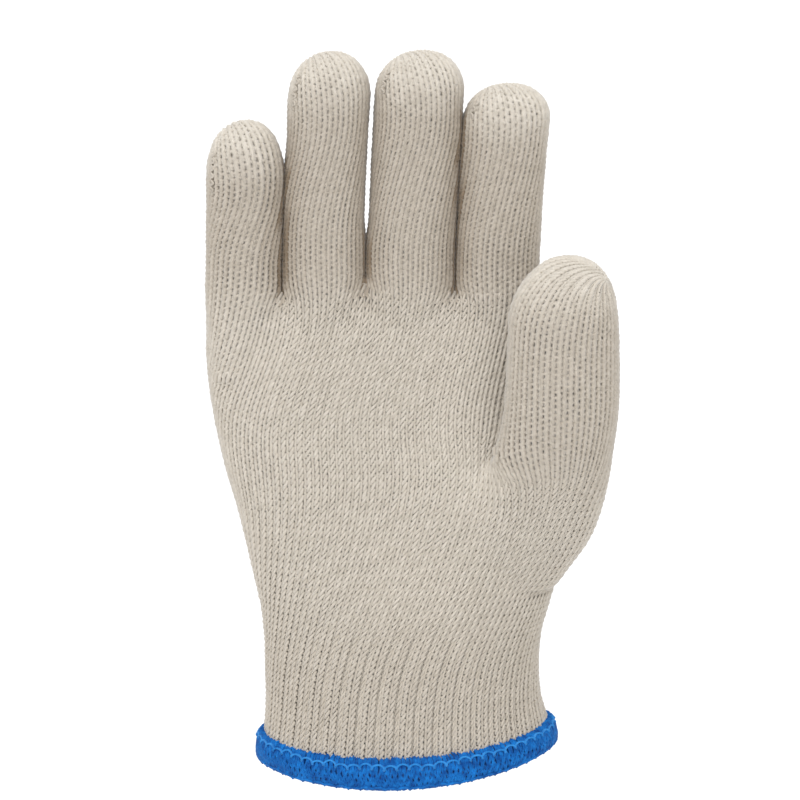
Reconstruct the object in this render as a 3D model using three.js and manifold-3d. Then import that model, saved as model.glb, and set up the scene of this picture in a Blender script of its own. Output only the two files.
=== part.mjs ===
// A seamless knitted cotton work glove for a right hand, shown as worn: fingers up, palm towards -Y.
// Knitted finger tubes, a thumb tube, the palm, a ribbed cuff and an overlocked hem, all hollow.
// Millimetres, +Z towards the fingertips, +X towards the thumb, origin at the centre of the wrist opening.
import * as THREE from "three";
import { mergeVertices } from "three/addons/utils/BufferGeometryUtils.js";
import Module from "manifold-3d";

const wasm = await Module();
wasm.setup();

// Driving sizes
const WALL = 2; // thickness of the knitted fabric
const CLEARANCE = 0.3; // gap between neighbouring pieces
const HEM_HEIGHT = 9;
const HEM_THICKNESS = 5.6;
const HEM_FLOOR = 2.2; // yarn below the cuff's raw edge
const HEM_RISE = 5.2; // how much higher the hem sits on the thumb's side
const HEM_DIP = 4.6; // how much lower the hem hangs in front and at the back than at its sides
const CUFF_LENGTH = 52; // from the hem's lower edge to the start of the palm
const WRIST_WIDTH = 91;
const WRIST_DEPTH = 56;
const RIB_COUNT = 36;
const RIB_RELIEF = 0.7;
const PALM_LENGTH = 100; // from the cuff to the knuckle line
const PALM_DEPTH = 37;
const KNUCKLE_SHIFT = -9.5; // middle of the knuckle row, from the wrist's middle
const WEB_RISE = 8.5; // height of the highest web between two fingers above the knuckle line
const FINGER_LENGTH = 81.2; // middle finger, from the knuckle line to its tip
const FINGER_WIDTH = 28; // middle finger at its widest
const FINGER_DEPTH = 23;
const FINGER_SEAM = 11; // where the finger tubes start, above the knuckle line
const FINGER_CURL = 3; // how far a fingertip bends towards the palm side
const BEND_POWER = 1.6; // fingers bend and lean more towards their tips
const THUMB_RISE = 3; // the ball of the thumb starts to swell this far above the cuff
const THUMB_LENGTH = 115.8; // from there to the thumb's tip
const THUMB_WIDTH = 35;
const THUMB_DEPTH = 28;
const THUMB_SEAM = 66; // where the thumb tube starts, above the start of the ball
const THUMB_GAP = 3.2; // air between the thumb and the palm's rounded edge
const BALL_SWELL = 5.5; // how far the ball of the thumb swells out of the palm's front
const HEEL_SWELL = 2; // the same on the little finger's side
const THUMB_OVERHANG = 6.9; // thumb's middle beyond the index finger's outer side
const THUMB_ROUNDNESS = 1.35; // height of the thumb's dome, in half widths of the thumb
const TIP_POWER = 2.25; // how blunt a fingertip's dome is: 2 is an ellipse

// Height of each finger's dome, from the little finger to the index finger, in half widths of the finger
const FINGER_DOMES = [1.5, 1.25, 1.06, 0.92];

// One row for each finger. Length, width and depth are shares of the sizes above. In shares of the width,
// forward is how far a finger stands towards the palm side, lean how far its tip is off to the thumb's
// side, and gap the air between it and the next finger where both have their full width
const FINGERS = [
  { name: "little_finger", length: 0.73, width: 0.875, depth: 0.91, forward: 0.08, lean: 0.06, gap: 0.014 },
  { name: "ring_finger", length: 0.996, width: 0.94, depth: 0.97, forward: 0.04, lean: 0.11, gap: 0.015 },
  { name: "middle_finger", length: 1, width: 1.015, depth: 1, forward: 0.014, lean: 0.15, gap: 0.018 },
  { name: "index_finger", length: 0.871, width: 0.978, depth: 0.983, forward: 0, lean: 0.12, gap: 0 },
].map((row, i) => ({
  name: row.name,
  length: row.length * FINGER_LENGTH,
  width: row.width * FINGER_WIDTH,
  depth: row.depth * FINGER_DEPTH,
  forward: row.forward * FINGER_WIDTH,
  lean: row.lean * FINGER_WIDTH,
  gap: row.gap * FINGER_WIDTH,
  dome: (FINGER_DOMES[i] * row.width * FINGER_WIDTH) / 2,
}));

// Swell and pinch of a finger tube: along is a share of its length, width and depth of its full size
const FINGER_FORM = [
  { along: -0.6, width: 0.8, depth: 0.9 },
  { along: 0.0, width: 0.995, depth: 1.02 },
  { along: 0.2, width: 0.985, depth: 0.985 },
  { along: 0.36, width: 0.985, depth: 0.99 },
  { along: 0.52, width: 0.99, depth: 0.965 },
  { along: 0.68, width: 1.0, depth: 1.0 },
  { along: 0.84, width: 1.01, depth: 1.0 },
  { along: 1.0, width: 1.0, depth: 0.97 },
];

// Cuff sections: along is a share of its length, width and depth of the wrist, shift of the wrist's width
const CUFF_FORM = [
  { along: 0.0, width: 1.065, depth: 1.05, shift: 0.018 },
  { along: 0.16, width: 1.04, depth: 1.03, shift: 0.014 },
  { along: 0.36, width: 1.004, depth: 1.01, shift: 0.004 },
  { along: 0.6, width: 0.998, depth: 1.0, shift: 0.0 },
  { along: 0.82, width: 1.01, depth: 0.985, shift: 0.003 },
  { along: 1.0, width: 1.046, depth: 0.96, shift: 0.01 },
];

// Palm sections: left and right go from the wrist's edge, 0, to the knuckles' edge, 1, and thin from
// the wrist's depth, 0, to the palm's, 1; square is the power of the section's outline; ball and heel
// are how far the balls of the thumb and of the little finger swell, in shares of their full swell
const PALM_FORM = [
  { along: 0.0, left: 0.0, right: 0.0, thin: 0.0, square: 2.1, ball: 0.0, heel: 0.1 },
  { along: 0.1, left: 0.13, right: -0.65, thin: 0.25, square: 2.15, ball: 0.3, heel: 0.5 },
  { along: 0.2, left: 0.26, right: -0.9, thin: 0.48, square: 2.2, ball: 0.72, heel: 0.9 },
  { along: 0.32, left: 0.43, right: -0.65, thin: 0.72, square: 2.25, ball: 1.0, heel: 1.0 },
  { along: 0.45, left: 0.65, right: -0.15, thin: 0.9, square: 2.35, ball: 0.8, heel: 0.8 },
  { along: 0.58, left: 0.82, right: 0.35, thin: 1.04, square: 2.45, ball: 0.3, heel: 0.5 },
  { along: 0.7, left: 0.94, right: 0.65, thin: 1.2, square: 2.6, ball: 0.0, heel: 0.25 },
  { along: 0.82, left: 1.0, right: 0.85, thin: 1.44, square: 2.75, ball: 0.0, heel: 0.1 },
  { along: 0.92, left: 1.0, right: 0.97, thin: 1.73, square: 2.9, ball: 0.0, heel: 0.0 },
  { along: 1.0, left: 0.99, right: 1.0, thin: 2.0, square: 3.0, ball: 0.0, heel: 0.0 },
];

// The palm closes over the knuckles as a low ridge: rise is a share of the web's height
const RIDGE_FORM = [
  { rise: 0.0, width: 0.975, depth: 0.96 },
  { rise: 0.3, width: 0.74, depth: 0.87 },
  { rise: 0.6, width: 0.45, depth: 0.72 },
  { rise: 0.85, width: 0.22, depth: 0.48 },
  { rise: 1.0, width: 0.08, depth: 0.16 },
];

// Thumb sections: across goes from the wrist's middle, 0, to the thumb's own place, 1, and forward the
// same way towards the palm side; width and depth are shares of the thumb's
const THUMB_FORM = [
  { along: 0.0, across: 0.52, forward: 0.17, width: 1.14, depth: 0.86 },
  { along: 0.09, across: 0.62, forward: 0.25, width: 1.27, depth: 1.0 },
  { along: 0.2, across: 0.75, forward: 0.39, width: 1.32, depth: 1.1 },
  { along: 0.33, across: 0.875, forward: 0.57, width: 1.18, depth: 1.12 },
  { along: 0.46, across: 0.945, forward: 0.76, width: 1.08, depth: 1.06 },
  { along: 0.57, across: 0.978, forward: 0.9, width: 1.04, depth: 1.0 },
  { along: 0.68, across: 0.985, forward: 0.97, width: 1.025, depth: 0.98 },
  { along: 0.76, across: 0.985, forward: 1.0, width: 1.005, depth: 0.97 },
  { along: 0.85, across: 0.985, forward: 1.01, width: 0.99, depth: 1.02 },
  { along: 1.0, across: 1.02, forward: 1.02, width: 0.96, depth: 1.0 },
];

// Hem profile, from its lower outer edge round to the groove for the cuff's raw edge: out is a share of
// the hem's thickness from the middle of the fabric, up a share of its height
const HEM_PROFILE = [
  { out: 0.28, up: 0.0 },
  { out: 0.46, up: 0.16 },
  { out: 0.5, up: 0.45 },
  { out: 0.46, up: 0.82 },
  { out: 0.32, up: 1.0 },
];

// Faceting
const FINGER_SIDES = 20;
const HOLLOW_SIDES = 16;
const PALM_SIDES = 48;
const PALM_HOLLOW_SIDES = 32;
const HEM_SIDES = 48;
const SECTION_STEP = 12.5; // longest step between two sections
const DOME_STEPS = 4;
const OVERCUT = 2; // how far a hollow runs past the face that it opens

const KNUCKLE_LINE = CUFF_LENGTH + PALM_LENGTH;
const THUMB_ROOT = CUFF_LENGTH + THUMB_RISE;

// Value of a table's column at a place, on a smooth curve through its rows
function read(table, key, column, at) {
  const last = table.length - 1;
  const place = THREE.MathUtils.clamp(at, table[0][key], table[last][key]);
  let i = 0;
  while (i < last - 1 && place > table[i + 1][key]) i++;
  const span = table[i + 1][key] - table[i][key];
  const t = (place - table[i][key]) / span;
  const value = (n) => table[THREE.MathUtils.clamp(n, 0, last)][column];
  const where = (n) => table[THREE.MathUtils.clamp(n, 0, last)][key];
  const slope = (n) => (value(n + 1) - value(n - 1)) / (where(n + 1) - where(n - 1));
  const h = t * t * (3 - 2 * t);
  const start = t * (1 - t) * (1 - t);
  const end = t * t * (1 - t);
  return value(i) * (1 - h) + value(i + 1) * h + span * (slope(i) * start - slope(i + 1) * end);
}

// Heights from low to high in even steps no longer than the section step
function heights(low, high) {
  const steps = Math.max(1, Math.ceil((high - low) / SECTION_STEP));
  return Array.from({ length: steps + 1 }, (_, i) => low + ((high - low) * i) / steps);
}

// Middle of each finger at the knuckle line: the widths and gaps are laid side by side
const rowWidth = FINGERS.reduce((sum, f) => sum + f.width + f.gap, 0);
const rowLeft = KNUCKLE_SHIFT - rowWidth / 2;
const rowRight = KNUCKLE_SHIFT + rowWidth / 2;
FINGERS.forEach((finger, i) => {
  const before = FINGERS.slice(0, i).reduce((sum, f) => sum + f.width + f.gap, 0);
  finger.x = rowLeft + before + finger.width / 2;
});

// A section is { z, x, y, a, b, power }: a horizontal outline of half width a and half depth b.
// Each form below gives the section at a height, drawn in from the outer face by inset.
function fingerSection(finger, z, inset) {
  const along = (z - KNUCKLE_LINE) / finger.length;
  const bend = Math.max(0, along) ** BEND_POWER;
  return {
    z,
    x: finger.x + finger.lean * bend,
    y: -finger.forward - FINGER_CURL * bend,
    a: (finger.width / 2) * read(FINGER_FORM, "along", "width", along) - inset,
    b: (finger.depth / 2) * read(FINGER_FORM, "along", "depth", along) - inset,
    power: 2.15,
  };
}

function cuffSection(z, inset) {
  const along = z / CUFF_LENGTH;
  return {
    z,
    x: WRIST_WIDTH * read(CUFF_FORM, "along", "shift", along),
    y: 0,
    a: (WRIST_WIDTH / 2) * read(CUFF_FORM, "along", "width", along) - inset,
    b: (WRIST_DEPTH / 2) * read(CUFF_FORM, "along", "depth", along) - inset,
    power: 2.1,
  };
}

function palmSection(z, inset) {
  const along = (z - CUFF_LENGTH) / PALM_LENGTH;
  const start = cuffSection(CUFF_LENGTH, 0);
  const column = (name) => read(PALM_FORM, "along", name, along);
  const left = THREE.MathUtils.lerp(start.x - start.a, rowLeft, column("left"));
  const right = THREE.MathUtils.lerp(start.x + start.a, rowRight, column("right"));
  return {
    z,
    x: (left + right) / 2,
    y: 0,
    a: (right - left) / 2 - inset,
    b: THREE.MathUtils.lerp(start.b, PALM_DEPTH / 2, column("thin")) - inset,
    power: column("square"),
    ball: BALL_SWELL * column("ball"),
    heel: HEEL_SWELL * column("heel"),
  };
}

function thumbSection(z, inset) {
  const along = (z - THUMB_ROOT) / THUMB_LENGTH;
  const across = rowRight + THUMB_OVERHANG;
  const forward = 0.6 * (PALM_DEPTH / 2) + THUMB_GAP + THUMB_DEPTH / 2;
  return {
    z,
    x: across * read(THUMB_FORM, "along", "across", along),
    y: -forward * read(THUMB_FORM, "along", "forward", along),
    a: (THUMB_WIDTH / 2) * read(THUMB_FORM, "along", "width", along) - inset,
    b: (THUMB_DEPTH / 2) * read(THUMB_FORM, "along", "depth", along) - inset,
    power: 2.15,
  };
}

// Sections that close a tube as a round fingertip ending at height top, or lower by inset
function domeSections(sectionAt, top, dome, inset) {
  return Array.from({ length: DOME_STEPS }, (_, i) => {
    const turn = ((i + 0.5) / DOME_STEPS) * (Math.PI / 2);
    const up = Math.sin(turn) ** (2 / TIP_POWER);
    const wide = Math.cos(turn) ** (2 / TIP_POWER);
    const section = sectionAt(top - inset - (dome - inset) * (1 - up), inset);
    return { ...section, a: section.a * wide, b: section.b * wide };
  });
}

// Points of a section's outline, anticlockwise from above, starting at -Y; ripple gives ribs
function outline(section, sides, ripple = () => 0) {
  return Array.from({ length: sides }, (_, i) => {
    const turn = (i / sides) * 2 * Math.PI;
    const round = (v) => Math.sign(v) * Math.abs(v) ** (2 / section.power);
    const rib = ripple(i);
    const across = round(Math.sin(turn));
    const x = section.x + (section.a + rib) * across;
    const y = section.y - (section.b + rib) * round(Math.cos(turn)) - swell(section, turn, across);
    return new THREE.Vector3(x, y, section.z);
  });
}

// How far a point of the palm's outline is pushed forward by the balls of the thumb and little finger
function swell(section, turn, across) {
  if (!section.ball && !section.heel) return 0;
  const front = THREE.MathUtils.smoothstep(Math.cos(turn), 0, 0.5);
  const mound = (middle, reach) =>
    THREE.MathUtils.smoothstep(reach - Math.abs(across - middle), 0, reach);
  return front * (section.ball * mound(0.55, 0.6) + section.heel * mound(-0.55, 0.55));
}

// The hem hangs in a soft curve: its tilt and dip fade out up the cuff
function hang(points) {
  points.forEach((p) => {
    const fade = 1 - THREE.MathUtils.clamp(p.z / CUFF_LENGTH, 0, 1);
    const side = p.x / (WRIST_WIDTH / 2);
    const front = p.y / (WRIST_DEPTH / 2);
    p.z += fade * ((HEM_RISE * (1 + side)) / 2 - HEM_DIP * front * front);
  });
  return points;
}

// A closed solid skinned over rings of equally many points, with both ends closed by a fan
function skin(rings) {
  const sides = rings[0].length;
  const middle = (ring) =>
    ring.reduce((sum, p) => sum.add(p), new THREE.Vector3()).divideScalar(sides);
  const points = [...rings.flat(), middle(rings[0]), middle(rings[rings.length - 1])];
  const faces = [];
  rings.slice(1).forEach((_, r) => {
    for (let i = 0; i < sides; i++) {
      const next = (i + 1) % sides;
      const [a, b, c, d] = [i, next, sides + next, sides + i].map((n) => n + r * sides);
      faces.push(a, b, c, a, c, d);
    }
  });
  const top = (rings.length - 1) * sides;
  for (let i = 0; i < sides; i++) {
    const next = (i + 1) % sides;
    faces.push(points.length - 2, next, i, points.length - 1, top + i, top + next);
  }
  const geometry = new THREE.BufferGeometry().setFromPoints(points);
  geometry.setIndex(faces);
  return geometry;
}

// manifold-3d joins and cuts closed geometries
function solid(geometry) {
  const bare = geometry.clone();
  bare.deleteAttribute("normal");
  bare.deleteAttribute("uv");
  const merged = mergeVertices(bare, 1e-4);
  return new wasm.Manifold(
    new wasm.Mesh({
      numProp: 3,
      vertProperties: merged.attributes.position.array,
      triVerts: new Uint32Array(merged.index.array),
    }),
  );
}

function geometryOf(manifold) {
  const mesh = manifold.getMesh();
  const geometry = new THREE.BufferGeometry();
  geometry.setAttribute("position", new THREE.BufferAttribute(mesh.vertProperties, 3));
  geometry.setIndex(new THREE.BufferAttribute(mesh.triVerts, 1));
  geometry.computeVertexNormals();
  return geometry;
}

// A plain stretch of a form between two heights, and a stretch that ends in a dome of the given height
function stretch(sectionAt, low, high, sides) {
  return solid(skin(heights(low, high).map((z) => outline(sectionAt(z), sides))));
}

function stall(sectionAt, low, top, dome, inset, sides) {
  const sections = heights(low, top - dome).map((z) => sectionAt(z, inset));
  sections.push(...domeSections(sectionAt, top, dome, inset));
  return solid(skin(sections.map((section) => outline(section, sides))));
}

// A hollow tube with a round tip: a finger or the thumb
function tube(sectionAt, seam, top, dome) {
  const outer = stall(sectionAt, seam, top, dome, 0, FINGER_SIDES);
  const inner = stall(sectionAt, seam - OVERCUT, top, dome, WALL, HOLLOW_SIDES);
  return geometryOf(outer.subtract(inner));
}

function fingerTube(finger) {
  const sectionAt = (z, inset) => fingerSection(finger, z, inset);
  const seam = KNUCKLE_LINE + FINGER_SEAM + CLEARANCE;
  return tube(sectionAt, seam, KNUCKLE_LINE + finger.length, finger.dome);
}

function thumbTube() {
  const seam = THUMB_ROOT + THUMB_SEAM + CLEARANCE;
  const dome = (THUMB_ROUNDNESS * THUMB_WIDTH) / 2;
  return tube(thumbSection, seam, THUMB_ROOT + THUMB_LENGTH, dome);
}

// The palm's own volume, closed over the knuckles, drawn in by inset; it opens at the cuff if inset
function palmVolume(inset) {
  const start = CUFF_LENGTH + (inset ? -OVERCUT : 0);
  const sections = heights(start, KNUCKLE_LINE).map((z) => palmSection(z, inset));
  const top = palmSection(KNUCKLE_LINE, 0);
  RIDGE_FORM.forEach((row) => {
    sections.push({
      ...top,
      z: KNUCKLE_LINE + (WEB_RISE - inset) * row.rise + CLEARANCE,
      a: top.a * row.width - inset * row.depth,
      b: Math.max(top.b * row.depth - inset, CLEARANCE),
    });
  });
  const sides = inset ? PALM_HOLLOW_SIDES : PALM_SIDES;
  return solid(skin(sections.map((section) => outline(section, sides))));
}

// The palm with the roots of the fingers and the ball of the thumb, as one hollow knitted piece
function palm() {
  const fingerTop = KNUCKLE_LINE + FINGER_SEAM;
  const thumbTop = THUMB_ROOT + THUMB_SEAM;
  const fingerLow = KNUCKLE_LINE - 0.3 * PALM_LENGTH;
  const volume = (inset) => {
    const past = inset ? OVERCUT : 0;
    const sides = inset ? HOLLOW_SIDES : FINGER_SIDES;
    const roots = FINGERS.map((finger) => {
      const rootSection = (z) => fingerSection(finger, z, inset);
      return stretch(rootSection, fingerLow, fingerTop + past, sides);
    });
    const ballSection = (z) => thumbSection(z, inset);
    const ball = stretch(ballSection, THUMB_ROOT, thumbTop + past, sides);
    return [...roots, ball].reduce((sum, piece) => sum.add(piece), palmVolume(inset));
  };
  return geometryOf(volume(0).subtract(volume(WALL)));
}

// The ribbed cuff: ribs stand out on the outside and fade out towards the palm
function cuff() {
  const low = HEM_FLOOR + CLEARANCE;
  const high = CUFF_LENGTH - CLEARANCE;
  const sides = RIB_COUNT * 2;
  const rings = heights(low, high).map((z) => {
    const fade = THREE.MathUtils.smoothstep(high - z, 0, 0.25 * CUFF_LENGTH);
    const tucked = THREE.MathUtils.smoothstep(z, HEM_HEIGHT, HEM_HEIGHT + SECTION_STEP);
    const depth = RIB_RELIEF * fade * tucked;
    return hang(outline(cuffSection(z, 0), sides, (i) => (i % 2 ? -depth : 0)));
  });
  const hollow = heights(low - OVERCUT, high + OVERCUT).map((z) =>
    hang(outline(cuffSection(z, WALL), RIB_COUNT)),
  );
  return geometryOf(solid(skin(rings)).subtract(solid(skin(hollow))));
}

// The overlocked hem: a thick ring with a groove that holds the cuff's raw edge
function hem() {
  const middle = (z) => cuffSection(z, WALL / 2);
  const ringAt = (out, z) => {
    const section = middle(z);
    return hang(outline({ ...section, a: section.a + out, b: section.b + out }, HEM_SIDES));
  };
  const side = (sign) =>
    HEM_PROFILE.map((row) => ringAt(sign * row.out * HEM_THICKNESS, row.up * HEM_HEIGHT));
  const outer = solid(skin(side(1)));
  const bore = side(-1);
  bore[0].forEach((p) => (p.z -= OVERCUT));
  bore[bore.length - 1].forEach((p) => (p.z += OVERCUT));
  const slotOut = WALL / 2 + CLEARANCE;
  const slotTop = HEM_HEIGHT + OVERCUT;
  const slotOuter = solid(skin([HEM_FLOOR, slotTop].map((z) => ringAt(slotOut, z))));
  const slotInner = solid(
    skin([HEM_FLOOR - OVERCUT, slotTop + OVERCUT].map((z) => ringAt(-slotOut, z))),
  );
  const ring = outer.subtract(solid(skin(bore)));
  return geometryOf(ring.subtract(slotOuter.subtract(slotInner)));
}

// Materials
const naturalKnit = new THREE.MeshStandardMaterial({
  color: 0xcdc4b6,
  roughness: 0.95,
  metalness: 0,
});
const blueYarn = new THREE.MeshStandardMaterial({
  color: 0x1e69b1,
  roughness: 0.9,
  metalness: 0,
});

function piece(name, geometry, material) {
  const mesh = new THREE.Mesh(geometry, material);
  mesh.name = name;
  return mesh;
}

const glove = new THREE.Group();
glove.name = "work_glove";
FINGERS.forEach((finger) => glove.add(piece(finger.name, fingerTube(finger), naturalKnit)));
glove.add(piece("thumb", thumbTube(), naturalKnit));
glove.add(piece("palm", palm(), naturalKnit));
glove.add(piece("cuff", cuff(), naturalKnit));
glove.add(piece("hem", hem(), blueYarn));

export default glove;
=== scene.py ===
"""Dresses the cotton work glove: knitted yarn, overlocked hem, cotton materials, light and camera.

Lengths are millimetres up to add_mesh, which turns them into metres. Light and camera are in metres.
The knit is real yarn. A lattice of stitches lies on the glove's form, in closed courses from the hem to
the fingertips, and one loop of yarn is swept for each stitch.
"""
import math

import bpy
import numpy as np
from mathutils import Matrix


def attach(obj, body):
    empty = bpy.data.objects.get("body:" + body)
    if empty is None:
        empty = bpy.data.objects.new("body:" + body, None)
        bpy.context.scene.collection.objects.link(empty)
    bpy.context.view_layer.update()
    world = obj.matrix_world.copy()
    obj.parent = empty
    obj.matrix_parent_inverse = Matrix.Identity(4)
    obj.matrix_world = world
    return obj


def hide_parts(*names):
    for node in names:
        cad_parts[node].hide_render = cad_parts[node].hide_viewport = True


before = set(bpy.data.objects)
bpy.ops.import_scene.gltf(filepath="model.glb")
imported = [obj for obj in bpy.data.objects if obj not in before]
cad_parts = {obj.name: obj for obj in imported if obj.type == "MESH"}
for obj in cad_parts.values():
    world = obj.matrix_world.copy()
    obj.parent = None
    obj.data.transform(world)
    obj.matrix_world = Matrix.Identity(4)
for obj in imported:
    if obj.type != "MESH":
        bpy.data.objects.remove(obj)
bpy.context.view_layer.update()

# Sizes of the glove, the same as in the part
WALL = 2.0
HEM_HEIGHT = 9.0
HEM_THICKNESS = 5.6
HEM_RISE = 5.2
HEM_DIP = 4.6
CUFF_LENGTH = 52.0
WRIST_WIDTH = 91.0
WRIST_DEPTH = 56.0
PALM_LENGTH = 100.0
PALM_DEPTH = 37.0
KNUCKLE_SHIFT = -9.5
WEB_RISE = 8.5
FINGER_LENGTH = 81.2
FINGER_WIDTH = 28.0
FINGER_DEPTH = 23.0
FINGER_SEAM = 11.0
FINGER_CURL = 3.0
BEND_POWER = 1.6
THUMB_RISE = 3.0
THUMB_LENGTH = 115.8
THUMB_WIDTH = 35.0
THUMB_DEPTH = 28.0
THUMB_SEAM = 66.0
THUMB_GAP = 3.2
BALL_SWELL = 5.5
HEEL_SWELL = 2.0
THUMB_OVERHANG = 6.9
THUMB_ROUNDNESS = 1.35
TIP_POWER = 2.25
TUBE_POWER = 2.15
KNUCKLE_LINE = CUFF_LENGTH + PALM_LENGTH
THUMB_ROOT = CUFF_LENGTH + THUMB_RISE
THUMB_TOP = THUMB_ROOT + THUMB_LENGTH
THUMB_DOME = THUMB_ROUNDNESS * THUMB_WIDTH / 2

# The palm's mounds: their middles and reach, as shares of its half width. The web between the fingers: its
# share at its ends, how wide its middle is, and how blunt it is
BALL_AT = 0.55
BALL_REACH = 0.6
HEEL_AT = -0.55
HEEL_REACH = 0.55
WEB_EDGE = 0.15
WEB_SPREAD = 0.42
WEB_POWER = 2.0

# How rounded the forms meet: the fingers and the palm, up to heights and across, and the thumb and the palm
FINGER_BLEND = 1.0
WEB_BLEND = 6.0
WEB_BLEND_TOP = (150.0, 164.0)
WEB_BLEND_SIDE = (0.78, 0.96)
CREASE_BLEND = 0.6
THUMB_BLEND = 9.0
THUMB_BLEND_TOP = (88.0, 112.0)

# How far down the tubes end: a finger's below the knuckles, and the thumb's above its root, and how fast
FINGER_FOOT = 24.0
THUMB_FOOT = 6.0
THUMB_FOOT_SLOPE = 1.2

# name, length, width, depth, forward, lean and gap to the next finger, all as shares of a finger's size,
# and the height of the tip's dome in half widths of the finger
FINGERS = [
    ("little_finger", 0.73, 0.875, 0.91, 0.08, 0.06, 0.014, 1.5),
    ("ring_finger", 0.996, 0.94, 0.97, 0.04, 0.11, 0.015, 1.25),
    ("middle_finger", 1.0, 1.015, 1.0, 0.014, 0.15, 0.018, 1.06),
    ("index_finger", 0.871, 0.978, 0.983, 0.0, 0.12, 0.0, 0.92),
]
# along, width, depth
FINGER_FORM = np.array([
    (-0.6, 0.8, 0.9),
    (0.0, 0.995, 1.02),
    (0.2, 0.985, 0.985),
    (0.36, 0.985, 0.99),
    (0.52, 0.99, 0.965),
    (0.68, 1.0, 1.0),
    (0.84, 1.01, 1.0),
    (1.0, 1.0, 0.97),
])
# along, width, depth, shift
CUFF_FORM = np.array([
    (0.0, 1.065, 1.05, 0.018),
    (0.16, 1.04, 1.03, 0.014),
    (0.36, 1.004, 1.01, 0.004),
    (0.6, 0.998, 1.0, 0.0),
    (0.82, 1.01, 0.985, 0.003),
    (1.0, 1.046, 0.96, 0.01),
])
# along, left, right, thin, square, ball, heel
PALM_FORM = np.array([
    (0.0, 0.0, 0.0, 0.0, 2.1, 0.0, 0.1),
    (0.1, 0.13, -0.65, 0.25, 2.15, 0.3, 0.5),
    (0.2, 0.26, -0.9, 0.48, 2.2, 0.72, 0.9),
    (0.32, 0.43, -0.65, 0.72, 2.25, 1.0, 1.0),
    (0.45, 0.65, -0.15, 0.9, 2.35, 0.8, 0.8),
    (0.58, 0.82, 0.35, 1.04, 2.45, 0.3, 0.5),
    (0.7, 0.94, 0.65, 1.2, 2.6, 0.0, 0.25),
    (0.82, 1.0, 0.85, 1.44, 2.75, 0.0, 0.1),
    (0.92, 1.0, 0.97, 1.73, 2.9, 0.0, 0.0),
    (1.0, 0.99, 1.0, 2.0, 3.0, 0.0, 0.0),
])
# along, across, forward, width, depth
THUMB_FORM = np.array([
    (0.0, 0.52, 0.17, 1.14, 0.86),
    (0.09, 0.62, 0.25, 1.27, 1.0),
    (0.2, 0.75, 0.39, 1.32, 1.1),
    (0.33, 0.875, 0.57, 1.18, 1.12),
    (0.46, 0.945, 0.76, 1.08, 1.06),
    (0.57, 0.978, 0.9, 1.04, 1.0),
    (0.68, 0.985, 0.97, 1.025, 0.98),
    (0.76, 0.985, 1.0, 1.005, 0.97),
    (0.85, 0.985, 1.01, 0.99, 1.02),
    (1.0, 1.02, 1.02, 0.96, 1.0),
])
# out, up: the outer half of the hem's section
HEM_PROFILE = np.array([(0.28, 0.0), (0.46, 0.16), (0.5, 0.45), (0.46, 0.82), (0.32, 1.0)])

# The tubes: needles on each bed, courses below the dome, courses of the dome before it narrows, needles of
# those that narrow it, and by what share of the way round the wales meander
TUBES = {
    "little_finger": (9, 22, 15, [7, 5], 0.042),
    "ring_finger": (11, 36, 13, [9, 7, 5], 0.027),
    "middle_finger": (12, 37, 12, [10, 8, 6], 0.03),
    "index_finger": (11, 32, 11, [9, 7, 5], 0.02),
    "thumb": (13, 23, 16, [11, 9, 7, 5], 0.0),
}
NEEDLES = {name: row[0] for name, row in TUBES.items()}
ALL_NEEDLES = sum(NEEDLES.values())
PALM_NEEDLES = ALL_NEEDLES - NEEDLES["thumb"]
CUFF_COURSES = 24
LOWER_COURSES = 24
UPPER_COURSES = 24
FIRST_COURSE = 4.0
THUMB_SPLIT = 104.0
COURSE = 2.1
TALLEST_COURSE = 1.5 * COURSE
LAST_PALM_COURSE = KNUCKLE_LINE + 1.5
FINGER_START = KNUCKLE_LINE + 5.5
THUMB_START = THUMB_SPLIT + 3.5
MIDDLE = 1.05
RELAX_STEPS = 70

# The rib: wales to each rib, how deep its sunk wale lies, by what share less on the glove's sides, its
# neighbours' lean, and the heights where the ribs fade out
RIB_EVERY = 3
RIB_SUNK = 0.8
RIB_SMOOTHER = 0.9
RIB_LEAN = 0.12
RIB_FADE = (41.0, 52.0)

# The yarn: loop size as shares of a wale and a course, how unlike the loops are, depth and radius in
# millimetres, how much thicker the yarn is in places, and how uneven it is along its length
LOOP_SWING = 0.2
SWING_SPREAD = 0.12
LOOP_REACH = 0.87
REACH_SPREAD = 0.03
LOOP_DEPTH = 0.26
DEPTH_SPREAD = 0.1
LOOP_TWIST = 0.28
LOOP_SKEW = 0.85
SKEW_MIDDLE = 0.3
TIGHT_WALE = 2.4
LOOSE_WALE = 3.2
YARN_SAMPLES = 8
YARN_SIDES = 4
YARN_PER_WALE = 0.22
YARN_THINNEST = 0.47
YARN_RADIUS = 0.78
SIDE_THICKER = 0.1
TIP_THICKER = 0.1
HOLLOW_THICKER = 0.16
SLUB = 0.06
SLUB_SAMPLES = 9
SLUB_LIMIT = 2.5

# The sheet behind the yarn: its greatest depth, its share of that on the sides, what facing front or back
# adds, what is added again below the fingers, and how much shallower it is at the tips and in the hollow
LINING_DEPTH = 0.75
LINING_SIDE = 0.4
LINING_FACING = 0.3
LINING_LOW = 0.3
LINING_LOW_FADE = (140.0, 165.0)
LINING_TIP = 0.55

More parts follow.
